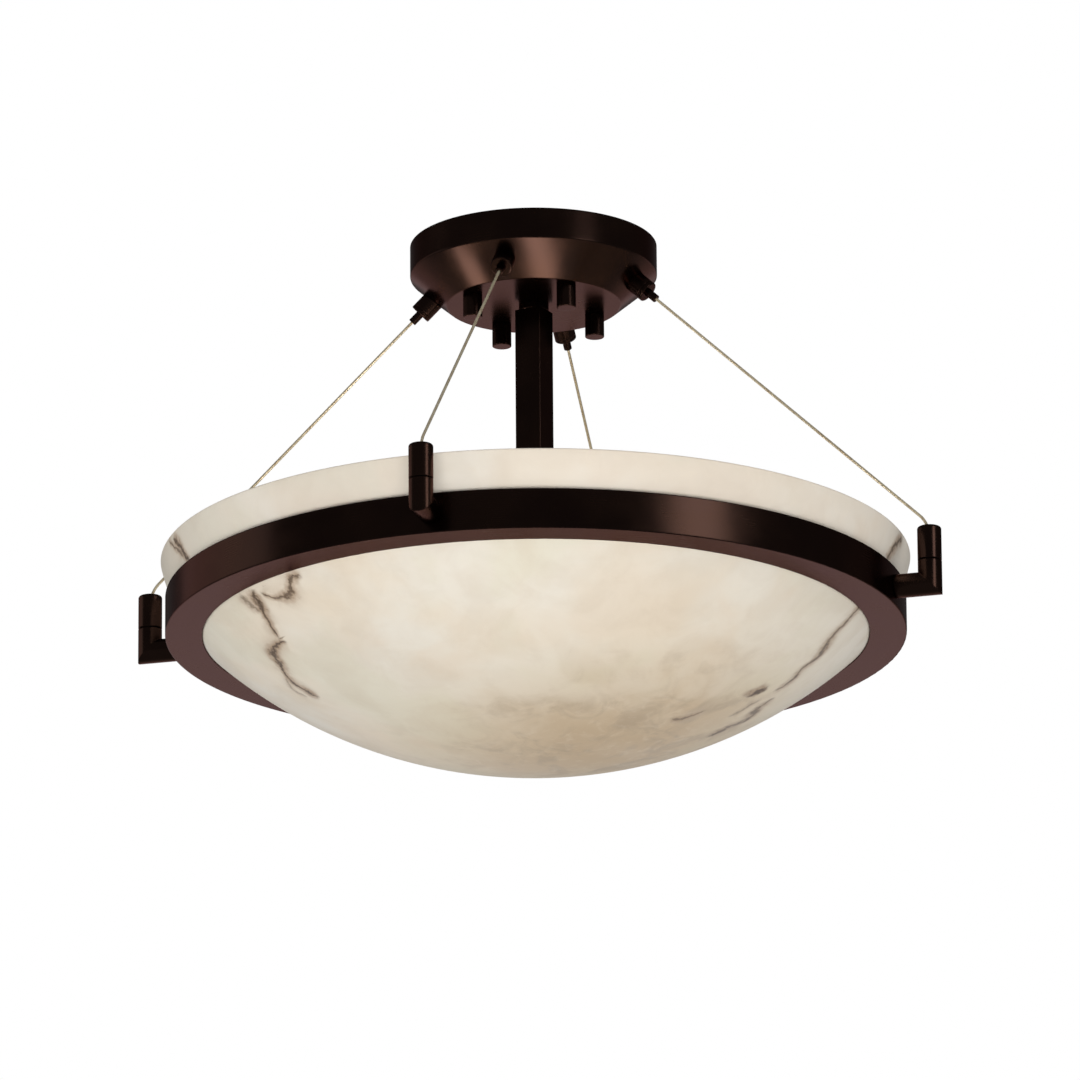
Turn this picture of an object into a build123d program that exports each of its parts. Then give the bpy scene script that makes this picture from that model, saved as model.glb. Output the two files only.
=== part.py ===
"""Semi flush ceiling light: a wide shallow bowl in a flat ring, hung by four cables from a coned canopy.

Millimetres, +Z up. The origin is the middle of the mounting plate's top face, on the ceiling, so
everything hangs below z = 0. -Y is the front. Each piece is built along +X where it repeats round
the light, and is then turned to its place.
"""
import os
from math import acos, asin, atan2, cos, degrees, hypot, pi, radians, sin, tan

from build123d import *

# ---------------------------------------------------------------- driving dimensions
# canopy: an upright band, a cone and a flat underside
canopy_radius = 82.5
canopy_band_height = 20.5
canopy_cone_height = 20.5
canopy_underside_radius = 58.0
canopy_wall = 1.6
canopy_edge_round = 1.0

# mounting plate, studs and the screws that hold it to the outlet box
plate_radius = 56.0
plate_thickness = 2.5
plate_wire_hole_radius = 12.0
box_screw_spacing = 88.9            # large round outlet box
box_slot_length = 14.0
small_box_screw_spacing = 69.85     # small octagonal outlet box
small_box_slot_length = 9.0
box_slot_width = 5.2
stud_circle_radius = 46.0
stud_radius = 2.08
stud_head_radius = 4.0
stud_head_height = 1.0
stud_reach = 9.0                    # how far a stud stands out below the canopy
stud_nut_flats = 8.7
stud_nut_height = 3.0
stud_azimuth = 28.0
ground_screw_radius = 2.0
ground_screw_head_radius = 4.2
ground_screw_head_height = 2.6
ground_screw_offset = 22.0
ground_screw_azimuth = 135.0

# cap nuts under the canopy
cap_nut_radius = 6.4
cap_nut_height = 15.0
cap_nut_edge_round = 0.5
cap_nut_bore_floor = 3.0            # solid metal below the tapped bore

# stem: a square tube clamped by a hollow threaded rod
stem_width = 19.05
stem_wall = 1.5
stem_corner_round = 1.2
stem_turn = -29.0                   # turn of the square tube about the upright axis
stem_rod_radius = 4.85
stem_rod_bore_radius = 3.1
stem_rod_above_nut = 3.0
stem_collar_radius = 10.0
stem_collar_height = 4.0
stem_nut_flats = 16.0
stem_nut_height = 4.5
stem_washer_radius = 11.0
stem_washer_thickness = 1.5

# lamp hub inside the bowl, with three lampholders
lamp_axis_drop = 262.0              # ceiling to the axis of the lamps
hub_radius = 23.0
hub_wall = 2.5
hub_top_above_lamps = 15.0
hub_bottom_below_lamps = 13.0
hub_cover_thickness = 2.0
hub_cover_lip_height = 4.0
hub_cover_lip_wall = 1.5
hub_cover_edge_round = 1.0
hub_nut_height = 4.0
lamp_count = 3
first_lamp_azimuth = 90.0
nipple_radius = 4.85
nipple_bore_radius = 3.1
nipple_nut_flats = 14.0
nipple_nut_height = 2.5
nipple_inside_holder = 6.0
holder_gap = 1.5                    # daylight between the hub's side and a lampholder's back
holder_back_radius = 12.0
holder_back_length = 9.0
holder_radius = 19.0
holder_front_radius = 17.5
holder_length = 42.0
holder_floor = 15.0                 # back of the lampholder to the floor of its cup
holder_edge_round = 1.2
shell_wall = 0.5
shell_length = 23.0
contact_radius = 4.0
contact_height = 1.6
bulb_base_radius = 13.2
bulb_base_length = 24.0
bulb_base_wall = 0.8
bulb_tip_radius = 4.6
bulb_tip_height = 2.4
bulb_glass_radius = 30.0
bulb_length = 108.0
bulb_neck_radius = 12.2
bulb_glass_wall = 1.0
bulb_shoulder_slope = 27.0          # slope of the cone between neck and globe, in degrees

# ring and the bowl that it carries
ring_radius = 245.0
ring_wall = 3.0
ring_height = 26.5
ring_flange_width = 24.5            # ring's outside to the flange's inner edge
ring_flange_thickness = 3.0
ring_edge_round = 0.5
ring_bottom_drop = 271.7            # ceiling to the ring's underside
bowl_rim_overhang = 3.4             # how far the bowl's rim stands out past the ring
bowl_rim_above_ring = 26.0          # ring's top edge to the bowl's rim
bowl_depth_below_ring = 84.0        # ring's underside to the bowl's lowest point
bowl_wall = 5.0
bowl_rim_round = 1.5

# cables, grippers and posts
cable_count = 4
first_cable_azimuth = -15.7
cable_radius = 1.0
cable_tail = 20.0                   # spare cable inside the canopy, measured from its outside
cable_corner_above_post = 2.5       # where the slanting and the upright stretch would meet
cable_upright_above_stop = 0.8      # straight cable between its stop and the bend
gripper_radius = 7.25
gripper_length = 9.4
gripper_shank_radius = 4.0
gripper_shank_inside = 9.0
gripper_chamber_radius = 4.3
gripper_chamber_floor = 1.0
gripper_collar_length = 3.0
gripper_collar_round = 0.7
gripper_nut_flats = 12.0
gripper_nut_height = 3.5
tip_radius = 2.7
tip_reach = 7.6
tip_edge_round = 0.4
tip_flange_radius = 4.0
tip_flange_thickness = 1.6
tip_cage_radius = 2.5
tip_travel = 2.5                    # how far the tip is pushed in before its tail meets the chamber's floor
post_radius = 7.95
post_standoff = 23.0                # ring's outside to the axis of a post
post_riser_height = 15.3            # stub's axis to the joint under the cap
post_cap_height = 23.4
post_cap_top_round = 1.8
post_groove_chamfer = 0.4
spigot_radius = 5.5
spigot_height = 8.5
stop_radius = 3.0
stop_length = 8.0
stop_shoulder_depth = 6.7           # solid top of the cap above the cable's stop
stop_well_below_spigot = 10.0
post_screw_radius = 2.5
post_screw_head_radius = 4.5
post_screw_head_height = 3.0
post_screw_depth = 13.0             # how far the screw reaches into the stub
post_screw_well_spare = 1.0

# clearances
seat_gap = 0.1                      # between pieces that are clamped together
running_gap = 0.1                   # between a turning or sliding piece and its bore
free_gap = 0.3                      # between pieces that move past or rest on each other

# ---------------------------------------------------------------- sizes that follow
ring_flange_inner_radius = ring_radius - ring_flange_width
bowl_rim_radius = ring_radius + bowl_rim_overhang
post_axis_radius = ring_radius + post_standoff
band_bottom = -canopy_band_height
canopy_bottom = -(canopy_band_height + canopy_cone_height)
ring_bottom = -ring_bottom_drop
ring_top = ring_bottom + ring_height
lamp_height = -lamp_axis_drop
hub_top = lamp_height + hub_top_above_lamps
hub_bottom = lamp_height - hub_bottom_below_lamps
cap_nut_top = canopy_bottom - seat_gap
cap_nut_bottom = cap_nut_top - cap_nut_height
stud_bottom = canopy_bottom - stud_reach
stub_height = ring_bottom + ring_height / 2
post_joint = stub_height + post_riser_height
post_top = post_joint + post_cap_height
stem_top = canopy_bottom - seat_gap - stem_collar_height

azimuths = [first_cable_azimuth + 360 / cable_count * i for i in range(cable_count)]
stud_azimuths = [stud_azimuth + 90 * i for i in range(4)]
lamp_azimuths = [first_lamp_azimuth + 360 / lamp_count * i for i in range(lamp_count)]


# ---------------------------------------------------------------- small helpers
def outline(*corners):
    """Closed outline in the upright plane. A corner is (radius, height) or (radius, height, rounding)."""
    face = Polygon(*[corner[:2] for corner in corners], align=None)
    for corner in corners:
        if len(corner) == 3:
            vertex = face.vertices().sort_by_distance((corner[0], corner[1]))[0]
            face = fillet(vertex, corner[2])
    return Plane.XZ * face


def turned(*corners):
    """A turned piece about the Z axis, from its half outline."""
    return revolve(outline(*corners), Axis.Z)


def rod(radius, low, high):
    """Upright cylinder between two heights."""
    return Pos(0, 0, low) * Cylinder(radius, high - low, align=(Align.CENTER, Align.CENTER, Align.MIN))


def tube(radius, bore, low, high):
    return rod(radius, low, high) - rod(bore, low - 1, high + 1)


def hex_nut(flats, bore, low, high):
    prism = Pos(0, 0, low) * extrude(RegularPolygon(flats / 2, 6, major_radius=False), high - low)
    return prism - rod(bore, low - 1, high + 1)


def at(radius, azimuth, height=0):
    """Place on a circle about the upright axis."""
    return Pos(radius * cos(radians(azimuth)), radius * sin(radians(azimuth)), height)


def outwards(height):
    """Local frame whose Z runs out along +X, at the given height on the upright axis."""
    return Plane(origin=(0, 0, height), x_dir=(0, 1, 0), z_dir=(1, 0, 0)).location


def write(name, shape):
    shape = shape if isinstance(shape, Solid) else Compound(children=list(shape.solids()))
    export_step(shape, f"parts/{name}.step")


def group(shapes):
    return Compound(children=[solid for shape in shapes for solid in shape.solids()])


# ---------------------------------------------------------------- ceiling plate and canopy
def mounting_plate():
    """Round plate with a wire hole, countersunk stud holes and two pairs of slots for box screws."""
    plate = rod(plate_radius, -plate_thickness, 0) - rod(plate_wire_hole_radius, -plate_thickness - 1, 1)
    for azimuth in stud_azimuths:
        hole = rod(stud_radius + seat_gap, -plate_thickness - 1, 1)
        recess = rod(stud_head_radius + seat_gap, -stud_head_height - seat_gap, 1)
        plate -= at(stud_circle_radius, azimuth) * (hole + recess)
    big_slot = extrude(SlotOverall(box_slot_length, box_slot_width), plate_thickness + 2)
    small_slot = extrude(SlotOverall(small_box_slot_length, box_slot_width), plate_thickness + 2)
    for side in (1, -1):
        plate -= Pos(side * box_screw_spacing / 2, 0, -plate_thickness - 1) * big_slot
        upright = Rot(0, 0, 90) * small_slot
        plate -= Pos(0, side * small_box_screw_spacing / 2, -plate_thickness - 1) * upright
    plate -= at(ground_screw_offset, ground_screw_azimuth) * rod(
        ground_screw_radius + seat_gap, -plate_thickness - 1, 1)
    return plate


def plate_stud(azimuth):
    """Threaded stud with a flush head, hanging from the plate through the canopy's underside."""
    head = rod(stud_head_radius, -stud_head_height, 0)
    return at(stud_circle_radius, azimuth) * (head + rod(stud_radius, stud_bottom, 0))


def stud_nut(azimuth):
    top = -plate_thickness - seat_gap
    return at(stud_circle_radius, azimuth) * hex_nut(
        stud_nut_flats, stud_radius + seat_gap, top - stud_nut_height, top)


def ground_screw():
    """Earthing screw: a hexagon head under the plate and a shank through it."""
    head_top = -plate_thickness - seat_gap
    head = Pos(0, 0, head_top - ground_screw_head_height) * extrude(
        RegularPolygon(ground_screw_head_radius, 6), ground_screw_head_height)
    shank = rod(ground_screw_radius, head_top - ground_screw_head_height / 2, -seat_gap)
    return at(ground_screw_offset, ground_screw_azimuth) * (head + shank)


def canopy_outside(grow=0.0):
    """The canopy's outer form as a solid, grown by a clearance."""
    slope = atan2(canopy_cone_height, canopy_radius - canopy_underside_radius)
    corner = grow * tan(slope / 2)
    band_corner = grow * tan((radians(90) - slope) / 2)
    return turned((0, 0), (canopy_radius + grow, 0),
                  (canopy_radius + grow, band_bottom - band_corner),
                  (canopy_underside_radius + corner, canopy_bottom - grow),
                  (0, canopy_bottom - grow))


def canopy_shell():
    """Spun canopy, open at the ceiling, with holes for the stem, the studs and the cable grippers."""
    slope = atan2(canopy_cone_height, canopy_radius - canopy_underside_radius)
    inside_radius = canopy_radius - canopy_wall
    inside_band = band_bottom + canopy_wall * tan((radians(90) - slope) / 2)
    inside_floor = canopy_bottom + canopy_wall
    inside_corner = canopy_underside_radius - canopy_wall * tan(slope / 2)
    shell = turned((stem_rod_radius + seat_gap, canopy_bottom),
                   (canopy_underside_radius, canopy_bottom, canopy_edge_round),
                   (canopy_radius, band_bottom, canopy_edge_round),
                   (canopy_radius, 0), (inside_radius, 0),
                   (inside_radius, inside_band), (inside_corner, inside_floor),
                   (stem_rod_radius + seat_gap, inside_floor))
    for azimuth in stud_azimuths:
        shell -= at(stud_circle_radius, azimuth) * rod(
            stud_radius + free_gap, canopy_bottom - 1, inside_floor + 1)
    for azimuth in azimuths:
        hole = rod(gripper_shank_radius + seat_gap, -gripper_shank_inside, gripper_shank_inside)
        shell -= Rot(0, 0, azimuth) * gripper_frame * hole
    return shell


def cap_nut(azimuth):
    """Plain round nut that holds the canopy up on a stud."""
    body = turned((0, cap_nut_bottom), (cap_nut_radius, cap_nut_bottom, cap_nut_edge_round),
                  (cap_nut_radius, cap_nut_top), (0, cap_nut_top))
    bore = rod(stud_radius + running_gap, cap_nut_bottom + cap_nut_bore_floor, cap_nut_top + 1)
    return at(stud_circle_radius, azimuth) * (body - bore)


# ---------------------------------------------------------------- stem
def stem_washer():
    low = canopy_bottom + canopy_wall + seat_gap
    return tube(stem_washer_radius, stem_rod_radius + seat_gap, low, low + stem_washer_thickness)


def stem_nut():
    low = canopy_bottom + canopy_wall + stem_washer_thickness + 2 * seat_gap
    return hex_nut(stem_nut_flats, stem_rod_radius + seat_gap, low, low + stem_nut_height)


def stem_rod():
    """Hollow threaded rod for the wires: it clamps the collar, the tube and the hub to the canopy."""
    top = (canopy_bottom + canopy_wall + stem_washer_thickness + 2 * seat_gap + stem_nut_height
           + stem_rod_above_nut)
    bottom = hub_top - hub_wall - seat_gap - hub_nut_height - seat_gap
    return tube(stem_rod_radius, stem_rod_bore_radius, bottom, top)


def stem_collar():
    return tube(stem_collar_radius, stem_rod_radius + seat_gap, stem_top, canopy_bottom - seat_gap)


def stem_tube():
    """Square tube with softly rounded corners."""
    low = hub_top + seat_gap
    length = stem_top - seat_gap - low
    outside = RectangleRounded(stem_width, stem_width, stem_corner_round)
    inside = Rectangle(stem_width - 2 * stem_wall, stem_width - 2 * stem_wall)
    return Pos(0, 0, low) * Rot(0, 0, stem_turn) * extrude(outside - inside, length)


# ---------------------------------------------------------------- lamp hub, lampholders and bulbs
def lamp_hub():
    """Round box at the foot of the stem, open below, with a side hole for each lampholder."""
    inside = hub_radius - hub_wall
    hub = turned((stem_rod_radius + seat_gap, hub_top), (hub_radius, hub_top, hub_cover_edge_round),
                 (hub_radius, hub_bottom), (inside, hub_bottom), (inside, hub_top - hub_wall),
                 (stem_rod_radius + seat_gap, hub_top - hub_wall))
    for azimuth in lamp_azimuths:
        hub -= Rot(0, 0, azimuth) * outwards(lamp_height) * rod(
            nipple_radius + seat_gap, inside / 2, hub_radius + 1)
    return hub


def hub_nut():
    top = hub_top - hub_wall - seat_gap
    return hex_nut(stem_nut_flats, stem_rod_radius + seat_gap, top - hub_nut_height, top)


def hub_cover():
    """Lid pressed into the hub from below."""
    lip = hub_radius - hub_wall - seat_gap
    top = hub_bottom - seat_gap
    return turned((0, top - hub_cover_thickness), (hub_radius, top - hub_cover_thickness, hub_cover_edge_round),
                  (hub_radius, top), (lip, top), (lip, top + hub_cover_lip_height),
                  (lip - hub_cover_lip_wall, top + hub_cover_lip_height),
                  (lip - hub_cover_lip_wall, top), (0, top))


holder_back = hub_radius + holder_gap
holder_front = holder_back + holder_length
cup_floor = holder_back + holder_floor
shell_bore_radius = bulb_base_radius + free_gap
cup_radius = shell_bore_radius + shell_wall + seat_gap
bulb_back = cup_floor + contact_height + free_gap
bulb_base_back = bulb_back + bulb_tip_height
bulb_front = bulb_back + bulb_length


def socket_nipple(azimuth):
    inner = hub_radius - hub_wall - seat_gap - nipple_nut_height - seat_gap
    piece = tube(nipple_radius, nipple_bore_radius, inner, holder_back + nipple_inside_holder)
    return Rot(0, 0, azimuth) * outwards(lamp_height) * piece


def nipple_nut(azimuth):
    """Nut inside the hub. Its back corners stay inside the round wall."""
    reach = (hub_radius - hub_wall) ** 2 - (nipple_nut_flats / 2 / cos(radians(30))) ** 2
    outer = reach ** 0.5 - seat_gap
    nut = hex_nut(nipple_nut_flats, nipple_radius + seat_gap, outer - nipple_nut_height, outer)
    return Rot(0, 0, azimuth) * outwards(lamp_height) * nut


def lampholder(azimuth):
    """Porcelain cup with a narrower back, bored for its nipple."""
    body = turned((0, holder_back), (holder_back_radius, holder_back, holder_edge_round),
                  (holder_back_radius, holder_back + holder_back_length),
                  (holder_radius, holder_back + holder_back_length + holder_edge_round),
                  (holder_radius, cup_floor), (holder_front_radius, holder_front, holder_edge_round),
                  (cup_radius, holder_front), (cup_radius, cup_floor), (0, cup_floor))
    bore = rod(nipple_radius + seat_gap, holder_back - 1, holder_back + nipple_inside_holder + seat_gap)
    return Rot(0, 0, azimuth) * outwards(lamp_height) * (body - bore)


def screw_shell(azimuth):
    piece = tube(shell_bore_radius + shell_wall, shell_bore_radius, cup_floor + seat_gap,
                 cup_floor + seat_gap + shell_length)
    return Rot(0, 0, azimuth) * outwards(lamp_height) * piece


def lamp_contact(azimuth):
    piece = rod(contact_radius, cup_floor + seat_gap, cup_floor + contact_height)
    return Rot(0, 0, azimuth) * outwards(lamp_height) * piece


def bulb_base(azimuth):
    """Screw cap of a bulb: a cup with the centre contact on its back."""
    front = bulb_base_back + bulb_base_length
    inside = bulb_base_radius - bulb_base_wall
    piece = turned((0, bulb_back), (bulb_tip_radius, bulb_back, cap_nut_edge_round),
                   (bulb_tip_radius, bulb_base_back), (bulb_base_radius - bulb_tip_height, bulb_base_back),
                   (bulb_base_radius, bulb_base_back + bulb_tip_height), (bulb_base_radius, front),
                   (inside, front), (inside, bulb_base_back + bulb_tip_height + bulb_base_wall),
                   (0, bulb_base_back + bulb_tip_height + bulb_base_wall))
    return Rot(0, 0, azimuth) * outwards(lamp_height) * piece


def bulb_outline(shrink):
    """Half outline of a bulb's glass: a neck, a straight flare and a round globe that it is tangent to."""
    globe = bulb_glass_radius - shrink
    neck = bulb_neck_radius - shrink
    middle = bulb_front - bulb_glass_radius
    slope = radians(bulb_shoulder_slope)
    touch = (globe * cos(slope), middle - globe * sin(slope))
    flare_start = (neck, touch[1] - (touch[0] - neck) / tan(slope))
    open_end = bulb_base_back + bulb_base_length / 2
    return [(0, open_end), (neck, open_end), flare_start, touch], middle, globe


def bulb_form(shrink):
    corners, middle, globe = bulb_outline(shrink)
    halfway = radians(90 - bulb_shoulder_slope) / 2
    edge = Polyline(*corners) + ThreePointArc(
        corners[-1], (globe * cos(halfway), middle + globe * sin(halfway)), (0, middle + globe))
    face = make_face(edge + Line((0, middle + globe), corners[0]))
    return revolve(Plane.XZ * face, Axis.Z)


def bulb_glass(azimuth):
    """Thin glass, open at the neck inside its screw cap."""
    corners, _, _ = bulb_outline(0)
    neck_bore = rod(bulb_neck_radius - bulb_glass_wall, corners[0][1] - 1, corners[0][1] + 1)
    piece = bulb_form(0) - bulb_form(bulb_glass_wall) - neck_bore
    return Rot(0, 0, azimuth) * outwards(lamp_height) * piece


# ---------------------------------------------------------------- ring and bowl
def ring_frame():
    """Ring of angle section: an upright band and a flat flange that the bowl rests on."""
    inside = ring_radius - ring_wall
    ring = turned((ring_flange_inner_radius, ring_bottom), (ring_radius, ring_bottom, ring_edge_round),
                  (ring_radius, ring_top, ring_edge_round), (inside, ring_top),
                  (inside, ring_bottom + ring_flange_thickness),
                  (ring_flange_inner_radius, ring_bottom + ring_flange_thickness))
    for azimuth in azimuths:
        hole = rod(post_screw_radius + seat_gap, inside - ring_wall, ring_radius + ring_wall)
        ring -= Rot(0, 0, azimuth) * outwards(stub_height) * hole
    return ring


def bowl_shade():
    """Open bowl. A crown arc runs from the axis to the flange that it rests on, and a tighter arc,
    tangent to it there, carries the side up to the rim. The wall has one thickness throughout."""
    bottom = ring_bottom - bowl_depth_below_ring
    rim = ring_top + bowl_rim_above_ring
    seat = (ring_flange_inner_radius - free_gap, ring_bottom + ring_flange_thickness)
    rise = seat[1] - bottom
    crown = (seat[0] ** 2 + rise ** 2) / (2 * rise)
    lean = asin(seat[0] / crown)
    run, climb = bowl_rim_radius - seat[0], rim - seat[1]
    half_sweep = atan2(climb, run) - lean
    side = hypot(run, climb) / (2 * sin(half_sweep))
    crown_middle = (0, bottom + crown)
    side_middle = (seat[0] - side * sin(lean), seat[1] + side * cos(lean))
    inner_side = side - bowl_wall
    inner_end = acos((side_middle[1] - rim) / inner_side)
    crown_sweep, side_sweep = degrees(lean), degrees(2 * half_sweep)
    outer = (CenterArc(crown_middle, crown, -90, crown_sweep)
             + CenterArc(side_middle, side, -90 + crown_sweep, side_sweep))
    inner = (CenterArc(crown_middle, crown - bowl_wall, -90, crown_sweep)
             + CenterArc(side_middle, inner_side, -90 + crown_sweep, degrees(inner_end) - crown_sweep))
    inner_rim = (side_middle[0] + inner_side * sin(inner_end), rim)
    face = make_face(outer + inner + Line((0, bottom), (0, bottom + bowl_wall))
                     + Line((bowl_rim_radius, rim), inner_rim))
    corners = [v for v in face.vertices() if abs(v.Y - rim) < 1e-3]
    return revolve(Plane.XZ * fillet(corners, bowl_rim_round), Axis.Z)


# ---------------------------------------------------------------- cables, grippers and posts
# A cable leaves the middle of the canopy's cone along its gripper's axis and turns upright
# in the top of the post that it pulls on, where the cap's hole is flared to let it lean.
gripper_point = ((canopy_radius + canopy_underside_radius) / 2, (band_bottom + canopy_bottom) / 2)
cable_corner = (post_axis_radius, post_top + cable_corner_above_post)
cable_slope = atan2(gripper_point[1] - cable_corner[1], cable_corner[0] - gripper_point[0])
cable_direction = (cos(cable_slope), 0, -sin(cable_slope))
stop_top = post_top - stop_shoulder_depth - free_gap
bend_depth = post_top - stop_top - cable_upright_above_stop
cable_bend_radius = (cable_corner_above_post + bend_depth) / tan((radians(90) - cable_slope) / 2)
cable_lean = asin(bend_depth / cable_bend_radius)      # from upright, where it leaves the post
cap_mouth_radius = cable_bend_radius * (1 - cos(cable_lean)) + cable_radius / cos(cable_lean) + free_gap
gripper_frame = Plane(origin=(gripper_point[0], 0, gripper_point[1]), x_dir=(0, 1, 0),
                      z_dir=cable_direction).location

# A gripper's axis leans from the cone's normal, so its nut stands off until its corners clear the wall.
gripper_lean = atan2(canopy_radius - canopy_underside_radius, canopy_cone_height) - cable_slope
nut_corner = gripper_nut_flats / 2 / cos(radians(30))
nut_corner_rise = nut_corner * tan(abs(gripper_lean)) + nut_corner ** 2 / (2 * gripper_point[0])
gripper_nut_inset = canopy_wall / cos(gripper_lean) + nut_corner_rise + seat_gap
collar_back = gripper_length
collar_front = gripper_length + gripper_collar_length
flange_front = collar_back - running_gap
flange_back = flange_front - tip_flange_thickness
tip_tail = gripper_chamber_floor + tip_travel + free_gap


def gripper_body(azimuth):
    """Barrel saddled to the cone, with a shank through the wall and a chamber for the sprung tip."""
    barrel = rod(gripper_radius, -gripper_shank_inside, gripper_length)
    barrel = gripper_frame * barrel - canopy_outside(seat_gap)
    barrel = max(barrel.solids(), key=lambda solid: solid.volume)
    shank = rod(gripper_shank_radius, -gripper_shank_inside, gripper_chamber_floor)
    chamber = rod(gripper_chamber_radius, gripper_chamber_floor, gripper_length + 1)
    bore = rod(cable_radius + 2 * seat_gap, -gripper_shank_inside - 1, gripper_chamber_floor + 1)
    return Rot(0, 0, azimuth) * (barrel + gripper_frame * shank - gripper_frame * (chamber + bore))


def gripper_collar(azimuth):
    """Screwed front of the gripper that keeps the tip in."""
    bore = tip_radius + running_gap
    piece = turned((bore, collar_back), (gripper_radius, collar_back),
                   (gripper_radius, collar_front, gripper_collar_round), (bore, collar_front))
    return Rot(0, 0, azimuth) * gripper_frame * piece


def gripper_tip(azimuth):
    """Release tip: it is pushed in to let the cable slide, and its flange stops it behind the collar."""
    bore = cable_radius + free_gap
    piece = turned((bore, tip_tail), (tip_cage_radius, tip_tail),
                   (tip_cage_radius, flange_back), (tip_flange_radius, flange_back),
                   (tip_flange_radius, flange_front), (tip_radius, flange_front),
                   (tip_radius, collar_front + tip_reach, tip_edge_round),
                   (bore, collar_front + tip_reach))
    return Rot(0, 0, azimuth) * gripper_frame * piece


def gripper_nut(azimuth):
    nut = hex_nut(gripper_nut_flats, gripper_shank_radius + seat_gap,
                  -gripper_nut_inset - gripper_nut_height, -gripper_nut_inset)
    return Rot(0, 0, azimuth) * gripper_frame * nut


def cable(azimuth):
    """Wire cable: a straight slanting stretch and a bend into the top of its post."""
    start = (gripper_point[0] - cable_tail * cos(cable_slope), 0,
             gripper_point[1] + cable_tail * sin(cable_slope))
    corner = (cable_corner[0], 0, cable_corner[1])
    end = (post_axis_radius, 0, stop_top - stop_length)
    path = FilletPolyline(start, corner, end, radius=cable_bend_radius)
    section = Plane(origin=start, z_dir=cable_direction) * Circle(cable_radius)
    solid = sweep(section, path)
    if azimuth == azimuths[0]:
        print(f"cable: length {path.length:.1f} mm, slope {degrees(cable_slope):.2f} degrees, bend radius "
              f"{cable_bend_radius:.1f} mm, volume over section times length "
              f"{solid.volume / (pi * cable_radius ** 2 * path.length):.4f}")
    return Rot(0, 0, azimuth) * solid


def cable_stop(azimuth):
    """Swaged ferrule on the cable's lower end, held under the top of the post's cap."""
    piece = tube(stop_radius, cable_radius + seat_gap, stop_top - stop_length, stop_top)
    return Rot(0, 0, azimuth) * Pos(post_axis_radius, 0, 0) * piece


def post_elbow(azimuth):
    """Mitred round bar: a stub from the ring's side and a riser with a spigot for the cap."""
    stub_start = ring_radius + seat_gap
    path = Polyline((stub_start, 0, stub_height), (post_axis_radius, 0, stub_height),
                    (post_axis_radius, 0, post_joint))
    section = Plane(origin=(stub_start, 0, stub_height), z_dir=(1, 0, 0)) * Circle(post_radius)
    bar = sweep(section, path, transition=Transition.RIGHT)
    bar = chamfer(bar.edges().sort_by(Axis.Z)[-1], post_groove_chamfer)
    spigot_top = post_joint + spigot_height
    well = rod(stop_radius + free_gap, post_joint - stop_well_below_spigot, spigot_top + 1)
    upright = Pos(post_axis_radius, 0, 0)
    screw_well = outwards(stub_height) * rod(
        post_screw_radius + seat_gap, stub_start - 1, stub_start + post_screw_depth + post_screw_well_spare)
    elbow = bar + upright * rod(spigot_radius, post_joint - 1, spigot_top) - upright * well - screw_well
    return Rot(0, 0, azimuth) * elbow


def post_cap(azimuth):
    """Cap screwed over the spigot. The cable comes in through a flared hole in its rounded top."""
    low = post_joint + free_gap
    piece = turned((spigot_radius + running_gap, low + post_groove_chamfer),
                   (spigot_radius + running_gap + post_groove_chamfer, low),
                   (post_radius - post_groove_chamfer, low), (post_radius, low + post_groove_chamfer),
                   (post_radius, post_top, post_cap_top_round),
                   (cap_mouth_radius, post_top),
                   (cable_radius + free_gap, post_top - stop_shoulder_depth),
                   (stop_radius + free_gap, post_top - stop_shoulder_depth),
                   (stop_radius + free_gap, post_joint + spigot_height + free_gap),
                   (spigot_radius + running_gap, post_joint + spigot_height + free_gap))
    return Rot(0, 0, azimuth) * Pos(post_axis_radius, 0, 0) * piece


def post_screw(azimuth):
    """Screw from inside the ring into the post's stub."""
    seat = ring_radius - ring_wall - seat_gap
    head = rod(post_screw_head_radius, seat - post_screw_head_height, seat)
    shank = rod(post_screw_radius, seat - 1, ring_radius + seat_gap + post_screw_depth)
    return Rot(0, 0, azimuth) * outwards(stub_height) * (head + shank)


# ---------------------------------------------------------------- write every piece
os.makedirs("parts", exist_ok=True)

singles = {
    "mounting_plate": mounting_plate, "ground_screw": ground_screw, "canopy_shell": canopy_shell,
    "stem_washer": stem_washer, "stem_nut": stem_nut, "stem_rod": stem_rod,
    "stem_collar": stem_collar, "stem_tube": stem_tube, "lamp_hub": lamp_hub, "hub_nut": hub_nut,
    "hub_cover": hub_cover, "ring_frame": ring_frame, "bowl_shade": bowl_shade,
}
for name, make in singles.items():
    write(name, make())

grouped = {
    "plate_studs": (plate_stud, stud_azimuths), "stud_nuts": (stud_nut, stud_azimuths),
    "socket_nipples": (socket_nipple, lamp_azimuths), "nipple_nuts": (nipple_nut, lamp_azimuths),
    "screw_shells": (screw_shell, lamp_azimuths), "lamp_contacts": (lamp_contact, lamp_azimuths),
    "gripper_collars": (gripper_collar, azimuths), "gripper_nuts": (gripper_nut, azimuths),
    "cable_stops": (cable_stop, azimuths), "post_screws": (post_screw, azimuths),
}
for name, (make, places) in grouped.items():
    write(name, group([make(azimuth) for azimuth in places]))

numbered = {
    "cap_nut": (cap_nut, stud_azimuths), "lampholder": (lampholder, lamp_azimuths),
    "bulb_base": (bulb_base, lamp_azimuths), "bulb_glass": (bulb_glass, lamp_azimuths),
    "gripper_body": (gripper_body, azimuths), "gripper_tip": (gripper_tip, azimuths),
    "cable": (cable, azimuths), "post_elbow": (post_elbow, azimuths), "post_cap": (post_cap, azimuths),
}
for name, (make, places) in numbered.items():
    for number, azimuth in enumerate(places, start=1):
        write(f"{name}_{number}", make(azimuth))
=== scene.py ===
# Semi flush ceiling light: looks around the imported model. Metres, +Z up, ceiling at z = 0.
from math import acos, asin, atan2, cos, hypot, pi, radians, sin, tan

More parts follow.
